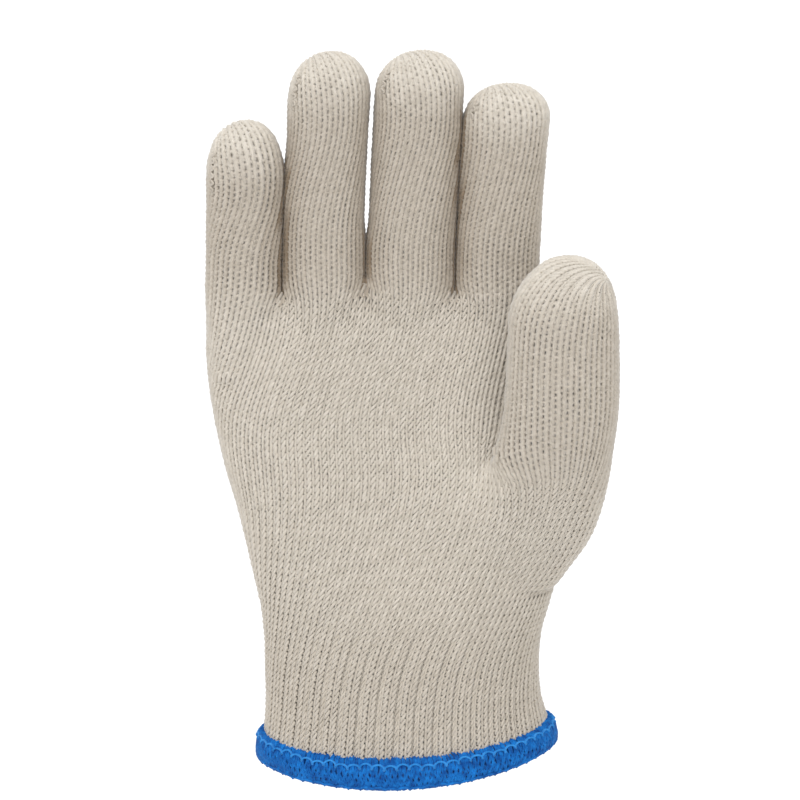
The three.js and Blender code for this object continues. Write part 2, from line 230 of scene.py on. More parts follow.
# How much painted shade darkens the yarn on each part, between which heights or depths below a top that
# comes or goes, and how near its neighbour a finger's flank and the crevice between fingers are
BODY_PAINTED_SHADE = 0.14
CUFF_PAINTED_SHADE = 0.14
CUFF_PAINTED_SHADE_FADE = (CUFF_LENGTH - 22, CUFF_LENGTH + 14)
FINGER_PAINTED_SHADE = 0.24
FINGER_PAINTED_SHADE_FADE = (KNUCKLE_LINE - 10, KNUCKLE_LINE + 16)
FINGER_TIP_FADE = (2.0, 26.0)
THUMB_PAINTED_SHADE = 0.18
THUMB_PAINTED_SHADE_FADE = (THUMB_SPLIT - 20, THUMB_SPLIT + 5)
THUMB_TIP_FADE = (2.0, 22.0)
THUMB_SIDE_FADE = 4.0
FLANK_FADE = (KNUCKLE_LINE - 2, KNUCKLE_LINE + 8)
FLANK_REACH = 11.0
FLANK_SHARE = 0.3
CREVICE_REACH = 2.6

random = np.random.default_rng(7)


def smoothstep(value, low, high):
    t = np.clip((value - low) / (high - low), 0, 1)
    return t * t * (3 - 2 * t)


def unit(vectors):
    return vectors / (np.linalg.norm(vectors, axis=-1, keepdims=True) + 1e-9)


def shares_along(points):
    """How far along a path each of its points is, 0 to 1, and the length of the path."""
    step = np.linalg.norm(np.diff(points, axis=0), axis=1)
    return np.concatenate([[0], np.cumsum(step)]) / step.sum(), step.sum()


def smooth_columns(table, samples=400):
    """A table's columns sampled on smooth curves through its rows: (places, values)."""
    keys = table[:, 0]
    values = table[:, 1:]
    at = np.linspace(keys[0], keys[-1], samples)
    i = np.clip(np.searchsorted(keys, at, side="left") - 1, 0, len(keys) - 2)
    span = (keys[i + 1] - keys[i])[:, None]
    t = (at - keys[i])[:, None] / span
    before = np.clip(np.arange(len(keys)) - 1, 0, None)
    after = np.clip(np.arange(len(keys)) + 1, None, len(keys) - 1)
    slope = (values[after] - values[before]) / (keys[after] - keys[before])[:, None]
    ease = t * t * (3 - 2 * t)
    out = values[i] * (1 - ease) + values[i + 1] * ease
    out += span * (slope[i] * t * (1 - t) ** 2 - slope[i + 1] * t * t * (1 - t))
    return at, out


def column(curve, index, at):
    return np.interp(at, curve[0], curve[1][:, index])


FINGER_CURVE = smooth_columns(FINGER_FORM)
CUFF_CURVE = smooth_columns(CUFF_FORM)
PALM_CURVE = smooth_columns(PALM_FORM)
THUMB_CURVE = smooth_columns(THUMB_FORM)


class Finger:
    """One finger's size and place in the row."""

    def __init__(self, name, length, width, depth, forward, lean, gap, tip):
        self.name = name
        self.dome = tip * width * FINGER_WIDTH / 2
        self.length = length * FINGER_LENGTH
        self.top = KNUCKLE_LINE + self.length
        self.width = width * FINGER_WIDTH
        self.depth = depth * FINGER_DEPTH
        self.forward = forward * FINGER_WIDTH
        self.lean = lean * FINGER_WIDTH
        self.gap = gap * FINGER_WIDTH
        self.x = 0.0


def finger_row():
    fingers = [Finger(*row) for row in FINGERS]
    total = sum(finger.width + finger.gap for finger in fingers)
    left = KNUCKLE_SHIFT - total / 2
    at = left
    for finger in fingers:
        finger.x = at + finger.width / 2
        at += finger.width + finger.gap
    return fingers, left, left + total


ROW, ROW_LEFT, ROW_RIGHT = finger_row()
ROW_HALF = (ROW_RIGHT - ROW_LEFT) / 2
TOPS = np.array([finger.top for finger in ROW] + [THUMB_TOP])

# Neighbouring fingers press together from the knuckles up to a height. PRESS is how much wider the soft
# yarn is there, on each side, and it fades in and out over these spans about those heights
PRESS = 0.95
PRESS_IN = (-6.0, 0.0)
PRESS_OUT = (-7.0, 5.0)
PRESSED_TO = {
    ("little_finger", "ring_finger"): 198.0,
    ("ring_finger", "middle_finger"): 176.0,
    ("middle_finger", "index_finger"): 212.0,
}


def pressed(name, side, z):
    """How far a finger's left side, 0, or right side, 1, is pressed out at heights z."""
    out = np.zeros_like(z)
    for pair, top in PRESSED_TO.items():
        if pair[1 - side] == name:
            out = PRESS * (1 - smoothstep(z - top, *PRESS_OUT)) * smoothstep(z - KNUCKLE_LINE, *PRESS_IN)
    return out


def finger_section(finger, z):
    along = (z - KNUCKLE_LINE) / finger.length
    bend = np.maximum(0, along) ** BEND_POWER
    left = pressed(finger.name, 0, z)
    right = pressed(finger.name, 1, z)
    x = finger.x + finger.lean * bend + (right - left) / 2
    y = -finger.forward - FINGER_CURL * bend
    a = finger.width / 2 * column(FINGER_CURVE, 0, along) + (right + left) / 2
    b = finger.depth / 2 * column(FINGER_CURVE, 1, along)
    return x, y, a, b


def thumb_section(z):
    along = (z - THUMB_ROOT) / THUMB_LENGTH
    across = ROW_RIGHT + THUMB_OVERHANG
    forward = 0.6 * PALM_DEPTH / 2 + THUMB_GAP + THUMB_DEPTH / 2
    x = across * column(THUMB_CURVE, 0, along)
    y = -forward * column(THUMB_CURVE, 1, along)
    a = THUMB_WIDTH / 2 * column(THUMB_CURVE, 2, along)
    b = THUMB_DEPTH / 2 * column(THUMB_CURVE, 3, along)
    return x, y, a, b


def cuff_section(z):
    along = z / CUFF_LENGTH
    x = WRIST_WIDTH * column(CUFF_CURVE, 2, along)
    a = WRIST_WIDTH / 2 * column(CUFF_CURVE, 0, along)
    b = WRIST_DEPTH / 2 * column(CUFF_CURVE, 1, along)
    return x, a, b


def body_section(z):
    """Middle, half width, half depth, power, ball and heel of the cuff and palm at heights z."""
    along = (z - CUFF_LENGTH) / PALM_LENGTH
    x, a, b = cuff_section(np.minimum(z, CUFF_LENGTH))
    left = (x - a) + (ROW_LEFT - (x - a)) * column(PALM_CURVE, 0, along)
    right = (x + a) + (ROW_RIGHT - (x + a)) * column(PALM_CURVE, 1, along)
    b = b + (PALM_DEPTH / 2 - b) * column(PALM_CURVE, 2, along)
    power = column(PALM_CURVE, 3, along)
    above = z > CUFF_LENGTH
    ball = np.where(above, BALL_SWELL * column(PALM_CURVE, 4, along), 0)
    heel = np.where(above, HEEL_SWELL * column(PALM_CURVE, 5, along), 0)
    return (left + right) / 2, (right - left) / 2, b, power, ball, heel


def tube_distance(p, x, y, a, b, power, top, rise, tip_power):
    """Signed distance to a tube with a domed top, near its surface, and the outward direction."""
    dx = (p[:, 0] - x) / a
    dy = (p[:, 1] - y) / b
    dz = np.maximum(0, (p[:, 2] - (top - rise)) / rise)
    ax = np.abs(dx) + 1e-9
    ay = np.abs(dy) + 1e-9
    reach = (ax ** power + ay ** power + dz ** tip_power) ** (1 / power)
    scale = reach ** (1 - power)
    slope = np.stack([
        scale * ax ** (power - 1) * np.sign(dx) / a,
        scale * ay ** (power - 1) * np.sign(dy) / b,
        scale * (tip_power / power) * dz ** (tip_power - 1) / rise,
    ], axis=1)
    steepness = np.linalg.norm(slope, axis=1) + 1e-9
    return (reach - 1) / steepness, slope / steepness[:, None]


def body_distance(p):
    x, a, b, power, ball, heel = body_section(p[:, 2])
    across = (p[:, 0] - x) / a
    front = smoothstep(-p[:, 1] / b, 0, 0.5)
    ball_mound = smoothstep(BALL_REACH - np.abs(across - BALL_AT), 0, BALL_REACH)
    heel_mound = smoothstep(HEEL_REACH - np.abs(across - HEEL_AT), 0, HEEL_REACH)
    depth = b + front * (ball * ball_mound + heel * heel_mound)
    beside = (p[:, 0] - KNUCKLE_SHIFT) / ROW_HALF
    rise = WEB_RISE * (WEB_EDGE + (1 - WEB_EDGE) * np.exp(-(beside / WEB_SPREAD) ** 2))
    return tube_distance(p, x, 0, a, depth, power, KNUCKLE_LINE + rise, rise, WEB_POWER)


def blend(d1, g1, d2, g2, radius):
    """Rounded union of two forms. Where they run alongside each other nothing is added."""
    radius = radius * np.clip(1 - (g1 * g2).sum(axis=1), 0.03, 1)
    h = np.clip(0.5 + 0.5 * (d2 - d1) / radius, 0, 1)
    d = d2 * (1 - h) + d1 * h - radius * h * (1 - h)
    return d, unit(g1 * h[:, None] + g2 * (1 - h)[:, None])


def finger_distance(p, finger):
    x, y, a, b = finger_section(finger, p[:, 2])
    d, g = tube_distance(p, x, y, a, b, TUBE_POWER, finger.top, finger.dome, TIP_POWER)
    return d + np.maximum(0, KNUCKLE_LINE - FINGER_FOOT - p[:, 2]), g


def thumb_distance(p):
    x, y, a, b = thumb_section(p[:, 2])
    d, g = tube_distance(p, x, y, a, b, TUBE_POWER, THUMB_TOP, THUMB_DOME, TIP_POWER)
    return d + THUMB_FOOT_SLOPE * np.maximum(0, THUMB_ROOT + THUMB_FOOT - p[:, 2]), g


def form_distance(p, thumb=True):
    z = p[:, 2]
    body, body_out = body_distance(p)
    beside = np.abs(p[:, 0] - KNUCKLE_SHIFT) / ROW_HALF
    webbed = (1 - smoothstep(z, *WEB_BLEND_TOP)) * (1 - smoothstep(beside, *WEB_BLEND_SIDE))
    radius = FINGER_BLEND + WEB_BLEND * webbed
    best = np.full(len(p), 1e9)
    out = np.zeros_like(p)
    for finger in ROW:
        d, g = finger_distance(p, finger)
        d, g = blend(body, body_out, d, g, radius)
        near = d < best
        best = np.where(near, d, best)
        out = np.where(near[:, None], g, out)
    if thumb:
        d, g = thumb_distance(p)
        radius = CREASE_BLEND + THUMB_BLEND * (1 - smoothstep(z, *THUMB_BLEND_TOP))
        best, out = blend(best, out, d, g, radius)
    return best, out


# A point moves no further than this in one step onto the fabric
LONGEST_MOVE = 6.0


def settle(p, steps):
    """Moves points onto the middle of the fabric."""
    for _ in range(steps):
        d, g = form_distance(p)
        p = p - g * np.clip(d + MIDDLE, -LONGEST_MOVE, LONGEST_MOVE)[:, None]
    return p


# The tight tips, by depth below a top, and the tight hollow in front, between the palm and the thumb's root
TIP_FADE = (5.0, 24.0)
HOLLOW = (26.0, -20.0, 98.0)
HOLLOW_REACH = 9.0


def finger_distances(p):
    return [finger_distance(p, finger)[0] for finger in ROW]


def tipness(p):
    """1 at the tops of the fingers and the thumb, and 0 from a little way below them."""
    owner = np.argmin(finger_distances(p) + [thumb_distance(p)[0]], axis=0)
    return 1 - smoothstep(TOPS[owner] - p[:, 2], *TIP_FADE)


def in_hollow(p):
    away = np.linalg.norm(p - HOLLOW, axis=1)
    return np.exp(-(away / HOLLOW_REACH) ** 2)


def painted_shade_at(p):
    """Painted shade on the yarn, 0 to 1: deep between fingers, softly on their flanks, and a little
    elsewhere.
    """
    z = p[:, 2]
    fingers = finger_distances(p)
    nearest, nearby = np.sort(fingers, axis=0)[:2]
    below_tip = smoothstep(TOPS[np.argmin(fingers, axis=0)] - z, *FINGER_TIP_FADE)
    on_finger = FINGER_PAINTED_SHADE * smoothstep(z, *FINGER_PAINTED_SHADE_FADE) * below_tip
    flank = 1 - smoothstep(nearby, 0, FLANK_REACH)
    crevice = 1 - smoothstep(nearby, 0, CREVICE_REACH)
    beside_finger = smoothstep(z, *FLANK_FADE) * (FLANK_SHARE * flank + (1 - FLANK_SHARE) * crevice)
    elsewhere = np.minimum(nearest, body_distance(p)[0])
    thumbness = smoothstep(elsewhere - thumb_distance(p)[0], 0, THUMB_SIDE_FADE)
    on_thumb = THUMB_PAINTED_SHADE * smoothstep(THUMB_TOP - z, *THUMB_TIP_FADE) * smoothstep(z, *THUMB_PAINTED_SHADE_FADE)
    on_cuff = CUFF_PAINTED_SHADE * (1 - smoothstep(z, *CUFF_PAINTED_SHADE_FADE))
    on_body = BODY_PAINTED_SHADE * (1 - tipness(p)) * (1 - in_hollow(p))
    on_tubes = on_thumb * thumbness + (on_finger + beside_finger) * (1 - thumbness)
    return np.clip(on_tubes + on_cuff + on_body, 0, 1)


# An outline is looked for between these reaches from its middle, by halving
TRACE_LOW = 2.0
TRACE_HIGH = 95.0
TRACE_STEPS = 22


def outlines(z, thumb, middle, samples=360):
    """Closed outlines of the form at heights z, from the -X side round by the palm."""
    turn = np.linspace(0, 2 * np.pi, samples, endpoint=False) - np.pi
    low = np.full((len(z), samples), TRACE_LOW)
    high = np.full((len(z), samples), TRACE_HIGH)
    for _ in range(TRACE_STEPS):
        reach = (low + high) / 2
        height = np.repeat(z[:, None], samples, axis=1)
        p = np.stack([middle[:, None] + reach * np.cos(turn), reach * np.sin(turn), height], axis=2)
        inside = form_distance(p.reshape(-1, 3), thumb)[0].reshape(reach.shape) < -MIDDLE
        low = np.where(inside, reach, low)
        high = np.where(inside, high, reach)
    return p


# How much closer the palm's front is knit than its back, and where that fades: by height, forward and across
PALM_CLOSER = 0.32
CLOSER_UP = (CUFF_LENGTH, THUMB_SPLIT - 10)
CLOSER_FORWARD = (2.0, 14.0)
CLOSER_ACROSS = (0.6, 1.0)


def measure(loop):
    """How far round a closed loop each point is, in stitches' terms, and the whole way round.

    Where the knit is closer, a millimetre counts for more.
    """
    step = np.linalg.norm(np.roll(loop, -1, axis=0) - loop, axis=1)
    across = (loop[:, 0] - loop[:, 0].mean()) / np.ptp(loop[:, 0]) * 2
    palm = smoothstep(loop[0, 2], *CLOSER_UP)
    front = smoothstep(-loop[:, 1], *CLOSER_FORWARD) * (1 - smoothstep(np.abs(across), *CLOSER_ACROSS))
    step = step * (1 + PALM_CLOSER * palm * front)
    return np.concatenate([[0], np.cumsum(step)[:-1]]), step.sum()


def place_on(loop, places):
    """Points on a closed loop at shares of the way round it."""
    at, total = measure(loop)
    at = np.append(at, total)
    closed = np.vstack([loop, loop[:1]])
    places = np.mod(places, 1.0) * total
    return np.stack([np.interp(places, at, closed[:, i]) for i in range(3)], axis=1)


class Rings:
    """Courses of stitches. Each ring is closed and knows the needle and bed of each stitch."""

    def __init__(self):
        self.points = []
        self.needles = []
        self.part = []

    def add(self, part, points, first, count):
        front = [(needle, 0) for needle in range(first, first + count)]
        back = [(needle, 1) for needle in range(first + count - 1, first - 1, -1)]
        self.points.append(points)
        self.needles.append(front + back)
        self.part.append(part)


def finger_gaps():
    """The lines between neighbouring fingers: (needle, x)."""
    gaps = []
    needle = 0
    for finger, following in zip(ROW[:-1], ROW[1:]):
        needle += NEEDLES[finger.name]
        gaps.append((needle, (finger.x + finger.width / 2 + following.x - following.width / 2) / 2))
    return gaps


def share_at(loop, x, front):
    """How far round the loop its front or back crosses x."""
    at, total = measure(loop)
    side = (loop[:, 1] < 0) == front
    near = np.where(side, np.abs(loop[:, 0] - x), 1e9)
    return at[np.argmin(near)] / total


def share_near(loop, point):
    """How far round the loop it comes nearest to a point."""
    at, total = measure(loop)
    return at[np.argmin(np.linalg.norm(loop - point, axis=1))] / total


# By height: how many stitches a wale has moved round, and the middle that outlines are looked for from
LEAN_AT = [0, CUFF_LENGTH, THUMB_SPLIT]
LEAN = [10.8, 8.2, 5.5]
TRACE_MIDDLE = [1.0, 1.0, 2.0]
# From this height up, over this span, the wales part between the palm and the thumb
PARTING_START = CUFF_LENGTH - 15
PARTING_SPAN = THUMB_SPLIT - CUFF_LENGTH + 18
# Stitches of the palm on each side of the crease that lie in the crease
CREASE_STITCHES = 0.6


def body_rings(rings):
    """Cuff and lower palm, with the thumb's ball.

    Returns the last ring's points where the wales start and where the thumb leaves the palm, front and back.
    """
    z = np.concatenate([
        np.linspace(FIRST_COURSE, CUFF_LENGTH, CUFF_COURSES, endpoint=False),
        np.linspace(CUFF_LENGTH, THUMB_SPLIT, LOWER_COURSES),
    ])
    loops = outlines(z, True, np.interp(z, LEAN_AT, TRACE_MIDDLE))
    top = loops[-1]
    at, total = measure(top)
    on_thumb = thumb_distance(top)[0] < body_distance(top)[0]
    change = np.flatnonzero(on_thumb != np.roll(on_thumb, 1))
    stitches = 2 * ALL_NEEDLES
    start = LEAN[2] / stitches
    marks = np.array([0, PALM_NEEDLES, PALM_NEEDLES + 2 * NEEDLES["thumb"], stitches])
    marks_top = np.array([-start, at[change[0]] / total, at[change[-1]] / total, 1 - start])
    for height, loop in zip(z, loops):
        lean = np.interp(height, LEAN_AT, LEAN)
        marks_low = (marks - lean) / stitches
        weight = np.clip((height - PARTING_START) / PARTING_SPAN, 0, 1)
        where = marks_low * (1 - weight) + marks_top * weight
        places = np.interp(np.arange(stitches) + 0.5, marks, where)
        rings.add("body", place_on(loop, places), 0, ALL_NEEDLES)
    return place_on(top, np.array([-start]))[0], top[change[0]], top[change[-1]]


def palm_rings(rings, start, crease_front, crease_back):
    """The palm above the thumb's split, whose wales come up to the fingers that they go on into."""
    z = np.linspace(THUMB_SPLIT + COURSE, LAST_PALM_COURSE, UPPER_COURSES)
    loops = outlines(z, False, np.full(len(z), KNUCKLE_SHIFT))
    stitches = 2 * PALM_NEEDLES
    gaps = finger_gaps()
    marks = [0] + [needle for needle, x in gaps]
    marks += [PALM_NEEDLES] + [stitches - needle for needle, x in gaps[::-1]] + [stitches]
    top = loops[-1]
    where_top = [0.0] + [share_at(top, x, True) for needle, x in gaps]
    where_top += [0.5 * (share_at(top, ROW_RIGHT, True) + share_at(top, ROW_RIGHT, False))]
    where_top += [share_at(top, x, False) for needle, x in gaps[::-1]] + [1.0]
    marks_low = [0, PALM_NEEDLES - CREASE_STITCHES, PALM_NEEDLES + CREASE_STITCHES, stitches]
    start_share = share_near(loops[0], start) - 1
    where_low = [start_share, share_near(loops[0], crease_front), share_near(loops[0], crease_back)]
    where_low.append(start_share + 1)
    stitch = np.arange(stitches) + 0.5
    places_low = np.interp(stitch, marks_low, where_low)
    places_top = np.interp(stitch, marks, where_top)
    for height, loop in zip(z, loops):
        along = (height - THUMB_SPLIT) / (KNUCKLE_LINE - THUMB_SPLIT)
        weight = 0.5 * (along + smoothstep(along, 0, 1))
        rings.add("palm", place_on(loop, places_low * (1 - weight) + places_top * weight), 0, PALM_NEEDLES)


def oval(x, y, a, b, z, samples=360):
    turn = np.linspace(0, 2 * np.pi, samples, endpoint=False) - np.pi / 2
    across = np.sign(np.sin(turn)) * np.abs(np.sin(turn)) ** (2 / TUBE_POWER)
    back = np.sign(np.cos(turn)) * np.abs(np.cos(turn)) ** (2 / TUBE_POWER)
    return np.stack([x + a * across, y - b * back, np.full(samples, z)], axis=1)


# A tip's closing line: how far its courses tilt off the top, which way, and its half length as a share of
# the last course's
TIP_TILT = math.radians(44)
TIP_TILT_POWER = 1.5
SHOULDER_TILT = 0.14
SHOULDER_TILT_FADE = (0.3, 1.0)
FINGER_POLE = (-0.62, 0.78)
THUMB_POLE = (0.93, -0.35)
TIP_LINE = 0.9


def tip_rings(rings, name, first, section, shoulder, rise, turn, pole):
    """The fingertip: courses that close towards a short line, off the top on the pole's side."""
    count, _, dome_courses, narrowing, _ = TUBES[name]
    counts = [count] * dome_courses + narrowing
    x, y, a, b = section(np.array([shoulder]))
    x_top, y_top = section(np.array([shoulder + rise / 2]))[:2]
    size = np.array([a[0] - MIDDLE, b[0] - MIDDLE, rise - MIDDLE])
    half_line = TIP_LINE * counts[-1] / count
    spin = turn * 2 * np.pi
    axis = np.cross([0, 0, 1], [*pole, 0])
    lean = math.atan(SHOULDER_TILT)
    for step, needles in enumerate(counts):
        up = (step + 0.5) / (len(counts) + 0.2)
        drop = (count - needles) // 2
        angle = np.pi * (np.arange(drop, drop + needles) + 0.5) / count
        across = -np.cos(angle) * ((1 - up) + half_line * up)
        deep = np.sin(angle) * np.cos(up * np.pi / 2)
        across = np.concatenate([across, across[::-1]])
        deep = np.concatenate([-deep, deep[::-1]])
        cx = across * math.cos(spin) - deep * math.sin(spin)
        cy = across * math.sin(spin) + deep * math.cos(spin)
        cz = np.sqrt(np.clip(1 - cx ** 2 - cy ** 2, 0, 1))
        c = np.stack([cx, cy, cz], axis=1)
        tilt = lean + (TIP_TILT - lean) * up ** TIP_TILT_POWER
        on_axis = np.outer(c @ axis, axis)
        c = c * math.cos(tilt) + np.cross(axis, c) * math.sin(tilt) + on_axis * (1 - math.cos(tilt))
        points = np.array([x_top[0], y_top[0], shoulder]) + c * size
        rings.add(name, points, first + drop, needles)


# How far round the wales have turned at a tube's root and tip, as shares of the way round
FINGER_TURNS = (0.0, 0.06)
THUMB_TURNS = (-0.035, -0.03)
# How far along a tube its meandering wales lie furthest left in front, and over what length they meander
MEANDER_LEFT_AT = 0.3
MEANDER_LENGTH = 1.2
# How much the thumb's wales go on from those of its root, up to what share of the tube, and how its first
# courses tilt across and forwards, up to what share
ROOT_PULL = 0.35
ROOT_PULL_TOP = 0.75
THUMB_TILT = (-0.22, 0.3)
TILT_TOP = 0.6


def tube_rings(rings, name, first, section, low, top, dome, turns, pole, tilt=(0.0, 0.0), root=None):
    """A finger or the thumb. turns gives how far round the wales have leant, at its root and its tip.

    The wales go on from the points of root, if it is given.
    """
    shoulder = top - dome
    count, courses, _, _, meander = TUBES[name]
    own_places = (np.arange(2 * count) + 0.5) / (2 * count)
    for z in np.linspace(low, shoulder, courses, endpoint=False):
        x, y, a, b = section(np.array([z]))
        loop = oval(x[0], y[0], a[0] - MIDDLE, b[0] - MIDDLE, z)
        along = (z - low) / (shoulder - low)
        turn = turns[0] + (turns[1] - turns[0]) * along
        turn -= meander * math.cos(2 * np.pi * (along - MEANDER_LEFT_AT) / MEANDER_LENGTH)
        closed = np.vstack([loop, loop[:1]])
        at = shares_along(closed)[0]
        places = own_places + turn
        if root is not None:
            nearest = np.linalg.norm(root[:, None, :2] - loop[None, :, :2], axis=2).argmin(axis=1)
            kept = (1 - smoothstep(along, 0, ROOT_PULL_TOP)) * ROOT_PULL
            from_root = np.unwrap(at[nearest] * 2 * np.pi) / (2 * np.pi)
            places = places * (1 - kept) + from_root * kept
        places = np.mod(places, 1.0)
        points = np.stack([np.interp(places, at, closed[:, i]) for i in range(3)], axis=1)
        fade = 1 - smoothstep(along, 0, TILT_TOP)
        across = points[:, 0] - x[0]
        deep = points[:, 1] - y[0]
        points[:, 2] += fade * (tilt[0] * across + tilt[1] * deep)
        late = smoothstep(along, *SHOULDER_TILT_FADE) * SHOULDER_TILT
        points[:, 2] -= late * (pole[0] * across + pole[1] * deep)
        rings.add(name, points, first, count)
    tip_rings(rings, name, first, section, shoulder, dome, turns[1], pole)


def all_rings():
    rings = Rings()
    split = body_rings(rings)
    ball = rings.points[-1][PALM_NEEDLES:PALM_NEEDLES + 2 * NEEDLES["thumb"]]
    palm_rings(rings, *split)
    first = 0
    for finger in ROW:
        tube_rings(
            rings, finger.name, first, lambda z, finger=finger: finger_section(finger, z),
            FINGER_START, finger.top, finger.dome, FINGER_TURNS, FINGER_POLE,
        )
        first += NEEDLES[finger.name]
    tube_rings(
        rings, "thumb", PALM_NEEDLES, thumb_section, THUMB_START, THUMB_TOP,
        THUMB_DOME, THUMB_TURNS, THUMB_POLE, tilt=THUMB_TILT, root=ball,
    )
    return rings


class Lattice:
    """Every stitch's place and its neighbours, as flat arrays."""

    def __init__(self, rings):
        self.start = np.cumsum([0] + [len(points) for points in rings.points])
        self.p = np.vstack(rings.points)
        total = len(self.p)
        self.left = np.zeros(total, int)
        self.right = np.zeros(total, int)
        self.below = np.full(total, -1)
        self.above = np.full(total, -1)
        self.ring = np.repeat(np.arange(len(rings.points)), np.diff(self.start))
        self.fixed = self.ring == 0
        self.seam = np.zeros(total, bool)
        last_on = {}
        for r, needles in enumerate(rings.needles):
            base = self.start[r]
            order = np.arange(len(needles))
            self.left[base + order] = base + (order - 1) % len(needles)
            self.right[base + order] = base + (order + 1) % len(needles)
            for i, needle in enumerate(needles):
                if needle in last_on:
                    self.below[base + i] = last_on[needle]
                    self.above[last_on[needle]] = base + i
                last_on[needle] = base + i
        self.close_tips(rings)

    def close_tips(self, rings):
        """Hangs dropped stitches on the next course's nearest, and closes last courses front to back."""
        for r, needles in enumerate(rings.needles):
            part = rings.part[r]
            if part in ("body", "palm"):
                continue
            base = self.start[r]
            if r + 1 == len(rings.needles) or rings.part[r + 1] != part:
                at = {needle: base + i for i, needle in enumerate(needles)}
                for (needle, bed), stitch in at.items():
                    self.above[stitch] = at[(needle, 1 - bed)]
                    self.fixed[stitch] = True
                    self.seam[stitch] = True
                continue
            following = {needle: self.start[r + 1] + i for i, needle in enumerate(rings.needles[r + 1])}
            for i, (needle, bed) in enumerate(needles):
                if (needle, bed) not in following:
                    same_bed = [key for key in following if key[1] == bed]
                    nearest = min(same_bed, key=lambda key: abs(key[0] - needle))
                    self.above[base + i] = following[nearest]

    def relax(self, steps):
        """Evens out the stitches on the form."""
        own = np.arange(len(self.p))
        below = np.where(self.below < 0, own, self.below)
        above = np.where(self.above < 0, own, self.above)
        for _ in range(steps):
            mean = (self.p[self.left] + self.p[self.right] + self.p[below] + self.p[above]) / 4
            moved = settle((self.p + mean) / 2, 1)
            self.p = np.where(self.fixed[:, None], self.p, moved)


def hang(p):
    """Lets the hem's edge rise on the thumb's side and dip in front and at the back."""
    fade = 1 - np.clip(p[:, 2] / CUFF_LENGTH, 0, 1)
    side = p[:, 0] / (WRIST_WIDTH / 2)
    front = p[:, 1] / (WRIST_DEPTH / 2)
    q = p.copy()
    q[:, 2] += fade * (HEM_RISE * (1 + side) / 2 - HEM_DIP * front ** 2)
    return q


rings = all_rings()
lattice = Lattice(rings)
lattice.p = settle(lattice.p, 4)
lattice.relax(RELAX_STEPS)
normals = form_distance(lattice.p)[1]

# How far the fabric faces front or back, 0 to 1, and where it turns to the sides, by its outward direction
FACING = (0.4, 0.97)
SIDEWAYS = (0.2, 0.6)
facing = smoothstep(np.abs(normals[:, 1]), *FACING)
sideways = smoothstep(np.abs(normals[:, 0]), *SIDEWAYS)

# Rib: the first wale of each rib is sunk, less on the sides, and its neighbours lean over it
in_cuff = lattice.ring < CUFF_COURSES
place_in_ring = np.arange(len(lattice.p)) - lattice.start[lattice.ring]
rib = np.where(in_cuff, 1 - smoothstep(lattice.p[:, 2], *RIB_FADE), 0)
sunk = (place_in_ring % RIB_EVERY == 0) * rib * RIB_SUNK * (1 - RIB_SMOOTHER * sideways)
beside = (place_in_ring % RIB_EVERY == 1) * 1.0 - (place_in_ring % RIB_EVERY == 2) * 1.0
wale = (lattice.p[lattice.right] - lattice.p[lattice.left]) / 2
lattice.p = lattice.p - normals * sunk[:, None] - wale * (RIB_LEAN * beside * rib)[:, None]
lattice.p = hang(lattice.p)


def joined(path, between, left_of, right_of):
    """Smooth curve through the points of closed rings, between each point and the one on its right."""
    t = between[:, None]
    p0, p1, p2, p3 = path[left_of], path, path[right_of], path[right_of[right_of]]
    return 0.5 * (2 * p1 + (p2 - p0) * t + (2 * p0 - 5 * p1 + 4 * p2 - p3) * t ** 2
                  + (3 * p1 - p0 - 3 * p2 + p3) * t ** 3)


def mixed(values, start, finish, share):
    return values[start] * (1 - share) + values[finish] * share


def yarn_path(lat, normals):
    """The yarn's middle line: (stitches, samples, 3), and which way is out at each sample."""
    p = lat.p
    own = np.arange(len(p))
    above = np.where(lat.above < 0, own, lat.above)
    below = np.where(lat.below < 0, own, lat.below)
    wale = (p[lat.right] - p[lat.left]) / 2
    course = p[above] - p[below]
    course /= np.where((lat.above >= 0) & (lat.below >= 0), 2, 1)[:, None]
    length = np.linalg.norm(course, axis=1, keepdims=True)
    course *= np.minimum(1, TALLEST_COURSE / (length + 1e-9))
    twist = 1 - smoothstep(np.linalg.norm(wale, axis=1), TIGHT_WALE, LOOSE_WALE)
    swing = LOOP_SWING * random.normal(1, SWING_SPREAD, len(p))
    reach = LOOP_REACH * random.normal(1, REACH_SPREAD, len(p))
    depth = LOOP_DEPTH * random.normal(1, DEPTH_SPREAD, len(p))
    lines = []
    outs = []
    for k in range(YARN_SAMPLES):
        t = 2 * np.pi * k / YARN_SAMPLES
        f = k / YARN_SAMPLES - 0.5
        start = lat.left if f < 0 else own
        finish = lat.right[start]
        f = f % 1.0
        middle = joined(p, np.full(len(p), f), lat.left, lat.right)[start]
        out = unit(mixed(normals, start, finish, f))
        lean = swing * (1 + LOOP_SKEW * twist * (SKEW_MIDDLE - math.sin(t))) * math.sin(2 * t)
        line = middle + mixed(wale, start, finish, f) * lean[:, None]
        line = line - mixed(course, start, finish, f) * (reach * math.cos(t))[:, None]
        line = line - out * (depth * math.cos(2 * t) + LOOP_TWIST * twist * math.sin(t))[:, None]
        lines.append(line)
        outs.append(out)
    return np.stack(lines, axis=1), np.stack(outs, axis=1)


